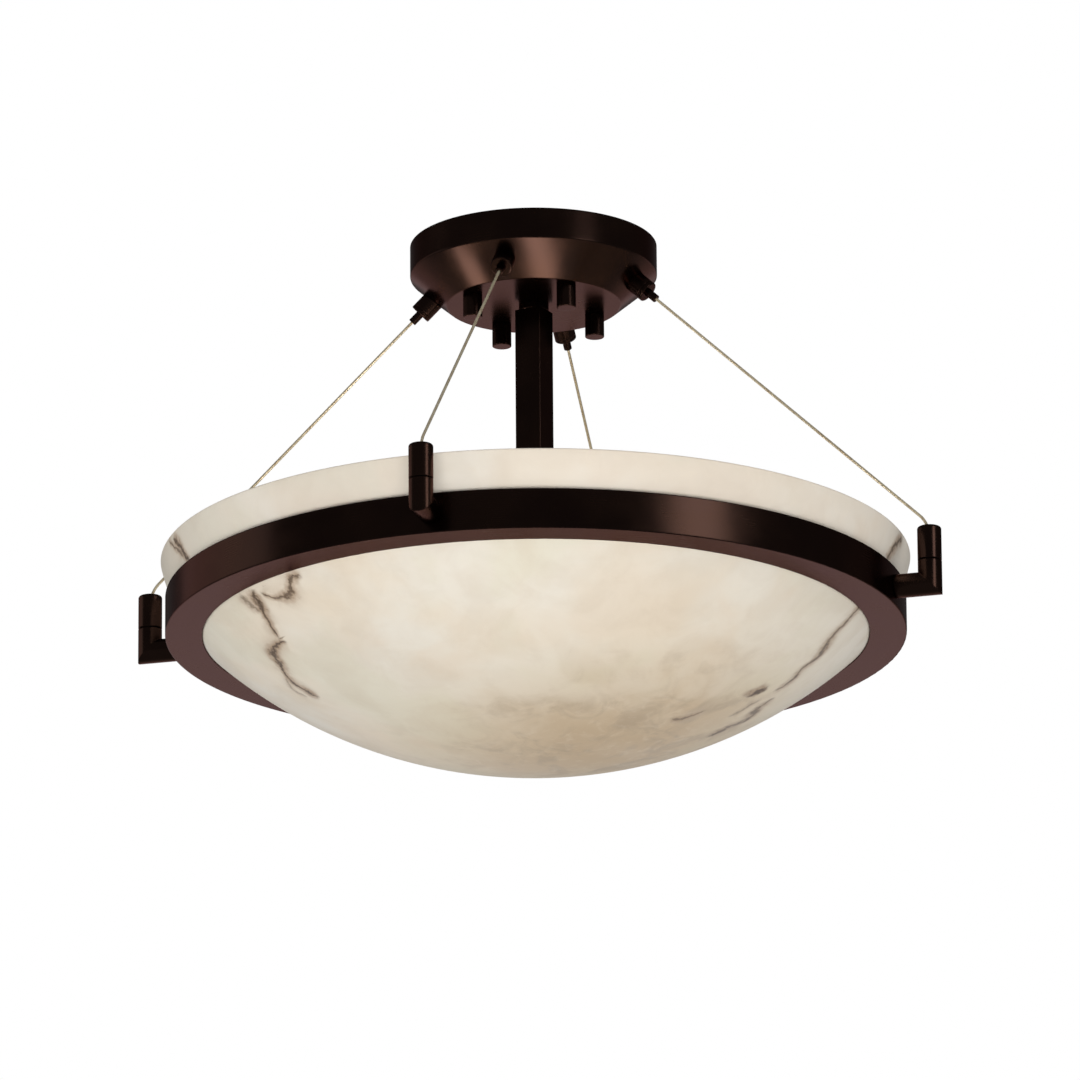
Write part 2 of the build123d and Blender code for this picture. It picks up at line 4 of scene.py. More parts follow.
import bpy
import numpy as np
from mathutils import Matrix, Vector


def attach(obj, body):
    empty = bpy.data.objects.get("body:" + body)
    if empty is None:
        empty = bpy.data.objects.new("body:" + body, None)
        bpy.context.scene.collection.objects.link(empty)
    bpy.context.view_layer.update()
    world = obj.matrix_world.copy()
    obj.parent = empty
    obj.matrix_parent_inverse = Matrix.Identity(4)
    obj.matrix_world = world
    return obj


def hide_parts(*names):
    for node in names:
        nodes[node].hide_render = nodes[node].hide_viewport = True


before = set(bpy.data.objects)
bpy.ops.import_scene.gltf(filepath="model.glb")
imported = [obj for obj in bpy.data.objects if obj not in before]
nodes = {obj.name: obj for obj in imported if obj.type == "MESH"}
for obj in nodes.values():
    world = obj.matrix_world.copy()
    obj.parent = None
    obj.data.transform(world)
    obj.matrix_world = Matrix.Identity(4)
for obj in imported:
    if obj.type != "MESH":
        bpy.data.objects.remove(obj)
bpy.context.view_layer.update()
print("frame loaded:", len(nodes), "nodes")


# camera
cameraView = {
    "place": (0.0, -6.125, -2.0925),
    "pitch": 0.299,                   # upward, radians
    "yaw": 0.0005,
    "roll": -0.007,
    "focalPixels": 9671.24,           # for an image frameWidth wide
    "frameWidth": 1080,
    "sensorWidth": 36.0,
    "clip": (0.1, 200.0),
}


def cameraAxes(view):
    # forward from pitch and yaw; right and up are turned about it by the roll
    forward = Vector((sin(view["yaw"]) * cos(view["pitch"]), cos(view["yaw"]) * cos(view["pitch"]),
                      sin(view["pitch"])))
    flatRight = forward.cross(Vector((0, 0, 1))).normalized()
    flatUp = flatRight.cross(forward)
    right = cos(view["roll"]) * flatRight + sin(view["roll"]) * flatUp
    up = -sin(view["roll"]) * flatRight + cos(view["roll"]) * flatUp
    return right, up, forward


def makeCamera(view):
    right, up, forward = cameraAxes(view)
    data = bpy.data.cameras.new("photoCamera")
    data.sensor_fit = "HORIZONTAL"
    data.sensor_width = view["sensorWidth"]
    data.lens = view["focalPixels"] / view["frameWidth"] * view["sensorWidth"]
    data.clip_start, data.clip_end = view["clip"]
    camera = bpy.data.objects.new("photoCamera", data)
    bpy.context.scene.collection.objects.link(camera)
    turn = Matrix((right, up, -forward)).transposed().to_4x4()
    camera.matrix_world = Matrix.Translation(view["place"]) @ turn
    bpy.context.scene.camera = camera


makeCamera(cameraView)


# mesh helpers
def linkMesh(name, points, faces, smooth=True):
    mesh = bpy.data.meshes.new(name)
    mesh.from_pydata(points.reshape(-1, 3).tolist(), [], faces)
    mesh.polygons.foreach_set("use_smooth", [smooth] * len(mesh.polygons))
    mesh.update()
    piece = bpy.data.objects.new(name, mesh)
    bpy.context.scene.collection.objects.link(piece)
    return piece


def turnedSurface(name, profile, steps):
    # a closed profile (radius, height) from pole to pole, turned about Z; each pole is one vertex
    angle = np.arange(steps) * (2 * pi / steps)
    rings = profile[1:-1]
    grid = np.stack([rings[:, :1] * np.cos(angle), rings[:, :1] * np.sin(angle),
                     np.repeat(rings[:, 1:], steps, axis=1)], axis=2)
    count = len(rings)
    points = np.concatenate([[[0, 0, profile[0, 1]]], grid.reshape(-1, 3), [[0, 0, profile[-1, 1]]]])
    row, column = np.meshgrid(np.arange(count - 1), np.arange(steps), indexing="ij")
    after = (column + 1) % steps
    quads = np.stack([1 + row * steps + column, 1 + row * steps + after, 1 + (row + 1) * steps + after,
                      1 + (row + 1) * steps + column], axis=-1).reshape(-1, 4)
    ring = np.arange(steps)
    after = (ring + 1) % steps
    last = 1 + (count - 1) * steps
    firstFan = np.stack([np.zeros(steps, int), 1 + after, 1 + ring], axis=-1)
    lastFan = np.stack([np.full(steps, len(points) - 1), last + ring, last + after], axis=-1)
    faces = quads.tolist() + firstFan.tolist() + lastFan.tolist()
    return linkMesh(name, points, faces)


def sweptSurface(name, rings):
    # rings is (stations, around, 3); both ends are closed with a fan to their middle point
    stations, around = rings.shape[:2]
    points = np.concatenate([rings.reshape(-1, 3), [rings[0].mean(axis=0)], [rings[-1].mean(axis=0)]])
    row, column = np.meshgrid(np.arange(stations - 1), np.arange(around), indexing="ij")
    after = (column + 1) % around
    quads = np.stack([row * around + column, row * around + after, (row + 1) * around + after,
                      (row + 1) * around + column], axis=-1).reshape(-1, 4)
    ring = np.arange(around)
    after = (ring + 1) % around
    last = (stations - 1) * around
    firstFan = np.stack([np.full(around, stations * around), after, ring], axis=-1)
    lastFan = np.stack([np.full(around, stations * around + 1), last + ring, last + after], axis=-1)
    return linkMesh(name, points, quads.tolist() + firstFan.tolist() + lastFan.tolist())


def addAttribute(piece, name, values):
    layer = piece.data.attributes.new(name, "FLOAT_VECTOR", "POINT")
    layer.data.foreach_set("vector", values.astype(np.float32).ravel())


# bowl
bowl = {
    "bottom": -0.3557,
    "seatRadius": 0.2202,             # of the throat that drops through the flange
    "seatHeight": -0.2687,            # where the side arc starts, on the flange
    "throatHeight": -0.2712,          # where the crown arc ends
    "rimRadius": 0.2484,
    "rimHeight": -0.2192,
    "wall": 0.005,
    "rimRound": 0.0015,
    "steps": 560,
    "rows": (102, 24, 6, 8, 17),      # crown, side, each rim corner, inner side, inner crown
}


def bowlArcs(b):
    rise = b["throatHeight"] - b["bottom"]
    crown = (b["seatRadius"] ** 2 + rise ** 2) / (2 * rise)
    lean = asin(b["seatRadius"] / crown)
    run, climb = b["rimRadius"] - b["seatRadius"], b["rimHeight"] - b["seatHeight"]
    halfSweep = atan2(climb, run) - lean
    side = hypot(run, climb) / (2 * sin(halfSweep))
    middle = (b["seatRadius"] - side * sin(lean), b["seatHeight"] + side * cos(lean))
    return crown, lean, side, middle


def arcPoints(middle, radius, start, end, count):
    # angles are measured from straight down, turning outwards
    angle = np.linspace(start, end, count)
    return np.stack([middle[0] + radius * np.sin(angle), middle[1] - radius * np.cos(angle)], axis=1)


def bowlProfile(b):
    # outer crown arc, short upright throat, outer side arc, rounded rim, then the same inside
    crown, lean, side, middle = bowlArcs(b)
    crownMiddle = (0.0, b["bottom"] + crown)
    crownRows, sideRows, cornerRows, innerSideRows, innerCrownRows = b["rows"]
    lift = middle[1] - b["rimHeight"] + b["rimRound"]
    outerEnd = acos(lift / (side - b["rimRound"]))
    innerEnd = acos(lift / (side - b["wall"] + b["rimRound"]))
    outerCorner = (middle[0] + (side - b["rimRound"]) * sin(outerEnd), b["rimHeight"] - b["rimRound"])
    innerCorner = (middle[0] + (side - b["wall"] + b["rimRound"]) * sin(innerEnd),
                   b["rimHeight"] - b["rimRound"])
    parts = [
        arcPoints(crownMiddle, crown, 0, lean, crownRows),
        arcPoints(middle, side, lean, outerEnd, sideRows),
        arcPoints(outerCorner, b["rimRound"], outerEnd, pi, cornerRows)[1:],
        arcPoints(innerCorner, b["rimRound"], pi, pi + innerEnd, cornerRows),
        arcPoints(middle, side - b["wall"], innerEnd, lean, innerSideRows)[1:],
        arcPoints(crownMiddle, crown - b["wall"], lean, 0, innerCrownRows),
    ]
    outerCount = crownRows + sideRows
    return np.concatenate(parts), outerCount


profile, outerCount = bowlProfile(bowl)
bowlShell = turnedSurface("bowlShell", profile, bowl["steps"])
print("bowl:", len(bowlShell.data.polygons), "faces")


# veins on the bowl: lines drawn on the photograph, then carried to the bowl along the camera's rays
bowlVeins = {                         # track: pixel across, pixel down, thickness in pixels
    "leftMain": {"depth": 1.0, "group": "vein", "track": [
        (252, 588, 1.2), (255, 597, 2.6), (260, 606, 3.6), (264, 613, 2.0), (268, 620, 1.6),
        (272, 628, 1.4), (276, 635, 0.9), (280, 640, 0.7)]},
    "leftLower": {"depth": 1.0, "group": "vein", "track": [
        (288, 642, 0.7), (283, 641, 1.0), (278, 643, 1.1), (274, 647, 1.5), (272, 653, 2.8),
        (275, 658, 3.4), (280, 663, 3.0), (283, 669, 1.6), (286, 675, 1.4), (292, 681, 1.4),
        (298, 686, 1.7), (304, 689, 2.0), (309, 692, 2.8), (314, 695, 2.6), (321, 698, 0.9)]},
    "leftEdge": {"depth": 0.6, "group": "sideVein", "track": [
        (239, 593, 2.6), (244, 599, 2.8), (249, 603, 2.6), (254, 608, 1.8), (259, 611, 1.6),
        (263, 613, 1.4)]},
    "leftBeside": {"depth": 0.45, "group": "sideVein", "track": [
        (286, 677, 0.8), (290, 686, 1.2), (294, 691, 1.2), (300, 694, 1.0), (309, 697, 0.8)]},
    "leftBranch": {"depth": 0.85, "group": "sideVein", "track": [
        (303, 579, 0.8), (299, 577, 1.4), (294, 576, 2.4), (291, 580, 1.4), (290, 586, 1.4),
        (292, 592, 1.8), (293, 596, 2.4), (288, 597, 2.2), (282, 598, 1.6), (274, 598, 1.0),
        (267, 596, 0.9), (259, 592, 0.8)]},
    "leftRim": {"depth": 1.0, "group": "vein", "track": [
        (165, 527, 2.0), (169, 531, 2.2), (173, 536, 2.4), (176, 541, 2.6), (180, 546, 3.4),
        (183, 551, 2.4), (187, 557, 1.8), (192, 563, 1.6)]},
    "leftRimThin": {"depth": 0.8, "group": "sideVein", "track": [
        (159, 534, 1.8), (163, 537, 1.8), (168, 541, 1.8), (172, 544, 1.2), (175, 548, 1.4),
        (179, 551, 1.6), (184, 555, 1.2)]},
    "rightRim": {"depth": 0.9, "group": "vein", "track": [
        (906, 532, 2.6), (901, 539, 2.8), (898, 543, 2.6), (894, 548, 2.4), (889, 555, 2.2),
        (884, 563, 1.8)]},
    "rightMain": {"depth": 0.85, "group": "vein", "track": [
        (862, 604, 2.6), (857, 610, 2.4), (852, 615, 1.8), (846, 622, 1.9), (838, 630, 1.8),
        (832, 637, 2.0), (827, 644, 3.0), (821, 653, 2.8), (813, 661, 2.2), (806, 666, 2.2),
        (801, 670, 1.4), (795, 677, 1.9), (789, 682, 2.3), (781, 688, 2.0), (773, 692, 1.4)]},
    "rightBlot": {"depth": 1.0, "group": "sideVein", "track": [
        (744, 698, 1.4), (748, 695, 7.4), (753, 693, 7.6), (758, 691, 6.0), (764, 688, 5.6),
        (770, 685, 1.2)]},
    "rightLower": {"depth": 0.8, "group": "vein", "track": [
        (776, 697, 1.2), (767, 702, 1.6), (755, 711, 3.2), (750, 717, 3.4), (742, 722, 3.0),
        (733, 725, 3.2), (724, 729, 4.4), (716, 733, 4.6), (706, 738, 2.4)]},
    "rightHaze": {"depth": 0.5, "group": "sideVein", "track": [
        (762, 699, 1.4), (747, 706, 2.0), (739, 712, 2.0), (727, 718, 1.4)]},
    "rightFaint": {"depth": 0.65, "group": "vein", "track": [
        (669, 719, 1.2), (676, 720, 1.9), (683, 719, 1.6), (690, 716, 1.4), (697, 713, 1.2),
        (707, 710, 0.9)]},
}
hiddenVeins = {                       # the same kind of vein where the photograph doesn't look
    "seed": 11,
    "azimuths": (28, 92, 150),        # where they start, degrees
    "startRadius": 0.238,
    "swing": 0.7,                     # how far the first heading may leave the way to the middle
    "steps": 26,
    "stride": 0.0085,
    "wander": 0.36,                   # spread of the turns, radians
    "drift": 0.5,                     # share of the turns that adds up along the way
    "behind": 0.105,                  # kept only further back than this
    "shortest": 4,                    # a vein with fewer points is dropped
    "rimShadeShare": 0.98,                 # of the rim's radius, within which points are kept
    "halfWidth": (0.0003, 0.0023),
    "depth": (0.5, 0.9),
}
veinShape = {
    "rayReach": (5.7, 6.9, 9000),     # distances in front of the camera where the bowl is looked for
    "taper": 0.005,                   # length over which a vein fades out at each end
    "spread": 2.5,                    # the drawn thickness is the dark core; the fray around it needs more
    "reach": (0.0045, 0.0090),        # a vein's field fades out between these distances
    "hazeReach": 0.013,
    "farOff": 99.0,                   # signed distance, in half widths, where no line is near
}


def softened(track, rounds=2):
    # each round cuts every corner at a quarter of its two sides
    for _ in range(rounds):
        first, second = track[:-1], track[1:]
        cut = np.stack([0.75 * first + 0.25 * second, 0.25 * first + 0.75 * second], axis=1)
        track = np.concatenate([track[:1], cut.reshape(-1, track.shape[1]), track[-1:]])
    return track


def trackOnBowl(track, view, outer):
    # a ray through each pixel; its first point inside the turned outer profile, with the half width there
    right, up, forward = [np.array(axis) for axis in cameraAxes(view)]
    middle = view["frameWidth"] / 2
    track = softened(np.array(track, float))
    ray = forward + ((track[:, :1] - middle) * right + (middle - track[:, 1:2]) * up) / view["focalPixels"]
    reach = np.linspace(*veinShape["rayReach"])
    points = np.array(view["place"]) + ray[:, None] * reach[None, :, None]
    allowed = np.interp(points[..., 2], outer[:, 1], outer[:, 0], left=-1, right=-1)
    inside = np.hypot(points[..., 0], points[..., 1]) < allowed
    hit, first = inside.any(axis=1), inside.argmax(axis=1)
    halfWidth = veinShape["spread"] * track[:, 2] / 2 * reach[first] / view["focalPixels"]
    return points[hit, first[hit]], halfWidth[hit]


def outerHeight(radius, outer):
    return np.interp(radius, outer[:, 0], outer[:, 1])


def wanderingLines(v, outer):
    # seeded random walks from the rim towards the middle, turning a little at every step
    rng = np.random.default_rng(v["seed"])
    lines = []
    for azimuth in v["azimuths"]:
        start = v["startRadius"] * np.array([cos(radians(azimuth)), sin(radians(azimuth))])
        firstHeading = radians(azimuth) + pi + rng.uniform(-v["swing"], v["swing"])
        drift = v["drift"] * np.cumsum(rng.normal(0, v["wander"], v["steps"]))
        heading = firstHeading + drift + rng.normal(0, v["wander"], v["steps"])
        flat = start + np.cumsum(v["stride"] * np.stack([np.cos(heading), np.sin(heading)], axis=1), axis=0)
        halfWidth = rng.uniform(*v["halfWidth"], v["steps"])
        distance = np.hypot(flat[:, 0], flat[:, 1])
        kept = (distance < v["rimShadeShare"] * bowl["rimRadius"]) & (flat[:, 1] > v["behind"])
        flat, halfWidth = flat[kept], halfWidth[kept]
        if len(flat) < v["shortest"]:
            continue
        track = softened(np.column_stack([flat, halfWidth]))
        height = outerHeight(np.hypot(track[:, 0], track[:, 1]), outer)
        lines.append((np.column_stack([track[:, :2], height]), track[:, 2], rng.uniform(*v["depth"])))
    return lines


def smoothStep(value):
    value = np.clip(value, 0, 1)
    return value * value * (3 - 2 * value)


def veinField(points, normals, lines, v):
    # for every point: signed distance to the nearest line in its half widths, that line's depth faded
    # to its ends and with distance, and a wider haze
    reachNear, reachFar = v["reach"]
    signed, depthHere = np.full(len(points), v["farOff"]), np.zeros(len(points))
    haze = np.zeros(len(points))
    for line, halfWidth, depth in lines:
        nearest, side, along = np.full(len(points), np.inf), np.ones(len(points)), np.zeros(len(points))
        widthHere, travelled = np.full(len(points), halfWidth[0]), 0.0
        for start, end, startWidth, endWidth in zip(line[:-1], line[1:], halfWidth[:-1], halfWidth[1:]):
            run = end - start
            length = np.linalg.norm(run)
            share = np.clip((points - start) @ run / length ** 2, 0, 1)
            gap = points - start - share[:, None] * run
            size = np.linalg.norm(gap, axis=1)
            closer = size < nearest
            turn = np.sign(np.einsum("ij,ij->i", np.cross(run, gap), normals))
            nearest = np.where(closer, size, nearest)
            side = np.where(closer, np.where(turn == 0, 1, turn), side)
            along = np.where(closer, travelled + share * length, along)
            widthHere = np.where(closer, startWidth + share * (endWidth - startWidth), widthHere)
            travelled += length
        taper = min(v["taper"], travelled / 4)
        fade = smoothStep(along / taper) * smoothStep((travelled - along) / taper)
        closer = nearest / widthHere < np.abs(signed)
        signed = np.where(closer, side * nearest / widthHere, signed)
        near = smoothStep((reachFar - nearest) / (reachFar - reachNear))
        depthHere = np.where(closer, depth * fade * near, depthHere)
        haze = np.maximum(haze, depth * fade * smoothStep(1 - nearest / v["hazeReach"]))
    return np.column_stack([signed, depthHere, haze])


def meshArrays(piece):
    count = len(piece.data.vertices)
    points, normals = np.empty(count * 3), np.empty(count * 3)
    piece.data.vertices.foreach_get("co", points)
    piece.data.vertices.foreach_get("normal", normals)
    return points.reshape(-1, 3), normals.reshape(-1, 3)


outerProfile = profile[:outerCount]
lines = {"vein": wanderingLines(hiddenVeins, outerProfile), "sideVein": []}
for vein in bowlVeins.values():
    lines[vein["group"]].append((*trackOnBowl(vein["track"], cameraView, outerProfile), vein["depth"]))
shellPoints, shellNormals = meshArrays(bowlShell)
innerFirst = 1 + (outerCount - 1 + bowl["rows"][2]) * bowl["steps"]
onOutside = shellPoints.copy()
onOutside[innerFirst:] -= bowl["wall"] * shellNormals[innerFirst:]      # a vein goes through the wall
for group, members in lines.items():
    addAttribute(bowlShell, group, veinField(onOutside, shellNormals, members, veinShape))
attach(bowlShell, "bowl")
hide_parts("bowl_shade")
print("veins:", len(bowlVeins), "seen,", len(lines["vein"] + lines["sideVein"]) - len(bowlVeins), "behind")


# cables: six strands laid round a core, taut from the gripper to the post
cableSet = {
    "azimuths": (-15.7, 74.3, 164.3, 254.3),
    "start": (0.05570, -0.01703),     # spare end inside the canopy: radius, height
    "corner": (0.268, -0.21725),
    "end": (0.268, -0.23475),
    "bend": 0.02016,
    "radius": 0.00098,
    "strands": 6,
    "strandDepth": 0.055,             # groove depth as a share of the radius
    "lay": 0.022,                     # length of one turn of a strand
    "stationGap": 0.00075,
    "around": 30,
}


def cablePath(c):
    # straight run, an arc tangent to both runs, straight run down; all in the plane of radius and height
    start, corner, end = (np.array(c[key], float) for key in ("start", "corner", "end"))
    into, out = corner - start, end - corner
    into, out = into / np.linalg.norm(into), out / np.linalg.norm(out)
    turn = acos(float(into @ out))
    setBack = c["bend"] * tan(turn / 2)
    first, last = corner - setBack * into, corner + setBack * out
    inward = np.array([into[1], -into[0]])
    middle = first + c["bend"] * inward
    lengths = np.array([np.linalg.norm(first - start), c["bend"] * turn, np.linalg.norm(end - last)])
    station = np.linspace(0, lengths.sum(), int(lengths.sum() / c["stationGap"]))
    onArc = np.clip((station - lengths[0]) / c["bend"], 0, turn)
    direction = np.cos(onArc)[:, None] * into + np.sin(onArc)[:, None] * inward
    outward = -np.cos(onArc)[:, None] * inward + np.sin(onArc)[:, None] * into
    before = np.minimum(station - lengths[0], 0)[:, None] * into
    after = np.maximum(station - lengths[0] - lengths[1], 0)[:, None] * out
    return middle + c["bend"] * outward + before + after, direction, station


def cableRings(c):
    # round section whose radius dips between the strands, turned steadily along the lay
    path, direction, station = cablePath(c)
    angle = np.arange(c["around"]) * (2 * pi / c["around"])
    phase = c["strands"] * (angle[None] + 2 * pi * station[:, None] / c["lay"])
    radius = c["radius"] * (1 - c["strandDepth"] * (1 - np.abs(np.cos(phase / 2))))
    across = np.stack([-direction[:, 1], direction[:, 0]], axis=1)
    offset = radius * np.cos(angle)
    flat = path[:, None] + offset[..., None] * across[:, None]
    return np.stack([flat[..., 0], radius * np.sin(angle), flat[..., 1]], axis=2)


def turnAbout(points, azimuth):
    angle = radians(azimuth)
    spin = np.array([[cos(angle), sin(angle), 0], [-sin(angle), cos(angle), 0], [0, 0, 1]])
    return points @ spin


cables = []
for number, azimuth in enumerate(cableSet["azimuths"], 1):
    cable = sweptSurface(f"cableStrands_{number}", turnAbout(cableRings(cableSet), azimuth))
    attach(cable, "fixture")
    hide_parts(f"cable_{number}")
    cables.append(cable)
print("cables:", len(cables))


# material helpers
noiseBand = (0.3, 0.7)                # most values of a noise lie between these


def add(tree, kind, inputs=None, **settings):
    node = tree.nodes.new("ShaderNode" + kind)
    for key, value in settings.items():
        setattr(node, key, value)
    for key, value in (inputs or {}).items():
        if isinstance(value, bpy.types.NodeSocket):
            tree.links.new(value, node.inputs[key])
        else:
            node.inputs[key].default_value = value
    return node


def objectPlace(tree, scale=(1, 1, 1), shift=(0, 0, 0)):
    place = add(tree, "TexCoord").outputs["Object"]
    return add(tree, "Mapping", {"Vector": place, "Scale": scale, "Location": shift}).outputs["Vector"]


def noise(tree, place, scale, detail=4.0, roughness=0.5, distortion=0.0):
    inputs = {"Vector": place, "Scale": scale, "Detail": detail, "Roughness": roughness,
              "Distortion": distortion}
    return add(tree, "TexNoise", inputs).outputs["Fac"]


def vectorLength(tree, vector):
    return add(tree, "VectorMath", {0: vector}, operation="LENGTH").outputs["Value"]


def spread(tree, value, low, high, toLow=0.0, toHigh=1.0):
    # carries low..high smoothly to toLow..toHigh
    inputs = {"Value": value, "From Min": low, "From Max": high, "To Min": toLow, "To Max": toHigh}
    return add(tree, "MapRange", inputs, interpolation_type="SMOOTHSTEP").outputs["Result"]


def calculate(tree, operation, first, second=0.0):
    return add(tree, "Math", {0: first, 1: second}, operation=operation).outputs["Value"]


def blendColours(tree, share, first, second, mode="MIX"):
    node = add(tree, "Mix", {"Factor": share}, data_type="RGBA", blend_type=mode)
    for socket, value in ((node.inputs[6], first), (node.inputs[7], second)):
        if isinstance(value, bpy.types.NodeSocket):
            tree.links.new(value, socket)
        else:
            socket.default_value = (*value, 1)
    return node.outputs[2]


def bump(tree, height, strength, distance, **others):
    inputs = {"Height": height, "Strength": strength, "Distance": distance, **others}
    return add(tree, "Bump", inputs).outputs["Normal"]


def newMaterial(name, looks):
    material = bpy.data.materials.new(name)
    material.use_nodes = True
    tree = material.node_tree
    shader = tree.nodes["Principled BSDF"]
    for key, value in looks.items():
        shader.inputs[key].default_value = value
    return material, tree, shader


def feed(tree, shader, **sockets):
    for key, socket in sockets.items():
        tree.links.new(socket, shader.inputs[key.replace("_", " ")])


# dark bronze: a satin finish with fine brushing
bronze = {
    "shade": (0.046, 0.026, 0.021),
    "warm": (0.060, 0.033, 0.025),
    "edgeTint": (0.62, 0.52, 0.52, 1),
    "roughness": (0.20, 0.28),
    "brushRoughness": (-0.01, 0.015),           # added where the brushing is smooth or coarse
    "clouds": (22.0, 5.0, 0.55),      # noise scale, detail, roughness
    "cloudBand": (0.35, 0.65),
    "brush": (2600.0, 3.0, 0.6),
    "brushStretch": (1, 1, 0.02),     # of straight brushing, along Z
    "brushBump": (0.5, 0.000003),     # strength, distance
    "edgeRound": 0.0010,              # how far a machined edge looks rounded
    "edgeSamples": 6,
}


def makeBronze(name, b, around):
    # brushing runs round the upright axis on turned pieces, and along Z on posts and stem
    material, tree, shader = newMaterial(name, {"Metallic": 1.0, "Specular Tint": b["edgeTint"]})
    place = objectPlace(tree)
    clouds = noise(tree, place, *b["clouds"])
    if around:
        split = add(tree, "SeparateXYZ", {"Vector": place})
        flat = add(tree, "CombineXYZ", {"X": split.outputs["X"], "Y": split.outputs["Y"]})
        radius = vectorLength(tree, flat.outputs["Vector"])
        track = add(tree, "CombineXYZ", {"X": radius, "Z": split.outputs["Z"]}).outputs["Vector"]
    else:
        track = objectPlace(tree, b["brushStretch"])
    lines = noise(tree, track, *b["brush"])
    colour = blendColours(tree, spread(tree, clouds, *b["cloudBand"]), b["shade"], b["warm"])
    rough = calculate(tree, "ADD", spread(tree, clouds, *noiseBand, *b["roughness"]),
                      spread(tree, lines, *noiseBand, *b["brushRoughness"]))
    edges = add(tree, "Bevel", {"Radius": b["edgeRound"]}, samples=b["edgeSamples"]).outputs["Normal"]
    brushed = bump(tree, lines, *b["brushBump"], Normal=edges)
    feed(tree, shader, Base_Color=colour, Roughness=rough, Normal=brushed)
    return material


bronzeTurned = makeBronze("darkBronzeTurned", bronze, True)
bronzeStraight = makeBronze("darkBronzeStraight", bronze, False)


# faux alabaster: clouded cream resin with smoky veins
alabaster = {
    "cream": (0.852, 0.752, 0.615),
    "pale": (0.864, 0.808, 0.712),
    "greenish": (0.815, 0.770, 0.635),
    "rosy": (0.835, 0.735, 0.610),
    "beige": (0.590, 0.460, 0.312),
    "umber": (0.450, 0.340, 0.228),
    "veinCore": (0.066, 0.035, 0.017),
    "veinHalo": (0.350, 0.215, 0.120),
    "haze": (0.570, 0.460, 0.350),
    "noises": {                       # scale, detail, roughness, distortion, shift
        "patches": (7.0, 4.0, 0.5, 0.3, (0.31, 0.12, 0.4)),
        "tint": (9.8, 4.0, 0.5, 0.4, (1.7, 0.6, 0.2)),
        "clouds": (20.0, 5.0, 0.55, 0.5, (0, 0, 0)),
        "mottle": (36.0, 5.0, 0.6, 0.7, (0, 0, 0)),
        "wisps": (84.0, 4.0, 0.6, 0.8, (0, 0, 0)),
        "wander": (70.0, 3.0, 0.6, 0.0, (0, 0, 0)),
        "fray": (300.0, 4.0, 0.65, 0.0, (0, 0, 0)),
    },
    # four numbers in a row: from this value to that one, the share goes from this to that
    "paleShare": (0.40, 0.60, 0.0, 1.0),          # by patches
    "greenishShare": (0.50, 0.66, 0.0, 0.75),     # by tint
    "rosyShare": (0.48, 0.34, 0.0, 0.75),
    # beige round the bottom: partly the resin's own tone, partly painted shade of the downward-facing
    # underside
    "zoneMiddle": (-0.045, 0.0, 0.0),             # added to a place; beige is strongest where that gives 0
    "zoneShare": (0.020, 0.158, 1.0, 0.0),        # by distance from there
    "zoneRagged": (0.3, 0.7, -0.0225, 0.0225),    # added to that distance, by clouds
    "rightShare": (-0.06, 0.24, 0.0, 0.09),       # beige, by x
    "rightPatches": (0.3, 0.7, 1.3, 0.5),
    "cloudShare": (0.44, 0.66, 0.0, 0.16),        # beige, by clouds
    # painted shade: the upper wall towards the rim is greyed and darkened, by height and patches
    "rimShadeGrey": (0.620, 0.565, 0.500),
    "rimShadeShare": (-0.262, -0.240, 0.0, 0.40),      # painted shade on the upper wall, by height
    "rimShadePatches": (0.35, 0.65, 1.3, 0.7),
    "lowTint": (1.0, 0.955, 0.885),               # multiplied in towards the bottom
    "lowShare": (0.08, 0.20, 1.0, 0.0),           # by distance from the zone's middle
    "umberShare": (0.44, 0.66, 0.0, 1.0),         # by mottle
    "umberZone": (0.0, 1.0, 0.06, 0.66),
    "wispShare": (0.50, 0.72, 0.0, 1.0),          # cream, by wisps
    "wispZone": (0.0, 1.0, 0.10, 0.22),
    "veinWander": (0.25, 0.75, -1.1, 1.1),        # in half widths
    "veinFray": (0.25, 0.75, -0.75, 0.75),
    "coreShare": (0.0, 1.5, 0.93, 0.0),           # by distance in half widths
    "haloShare": (0.4, 4.8, 0.72, 0.0),
    "hazeShare": (0.35, 0.62, 0.1, 0.75),         # by mottle
    "roughness": (0.3, 0.7, 0.42, 0.52),          # by clouds
    "wispBump": (0.2, 0.00015),                   # strength, distance
}


def veinShares(tree, a, attribute, waver):
    # how dark the core and the halo of one group of veins are at a point, and its haze
    values = add(tree, "Attribute", attribute_name=attribute).outputs["Vector"]
    field = add(tree, "SeparateXYZ", {"Vector": values}).outputs
    away = calculate(tree, "ABSOLUTE", calculate(tree, "ADD", field["X"], waver))
    core = calculate(tree, "MULTIPLY", spread(tree, away, *a["coreShare"]), field["Y"])
    halo = calculate(tree, "MULTIPLY", spread(tree, away, *a["haloShare"]), field["Y"])
    return core, halo, field["Z"]


def bothShares(tree, first, firstShare, second, secondShare):
    # the product of two shares, each worked out from a value of its own
    return calculate(tree, "MULTIPLY", spread(tree, first, *firstShare), spread(tree, second, *secondShare))


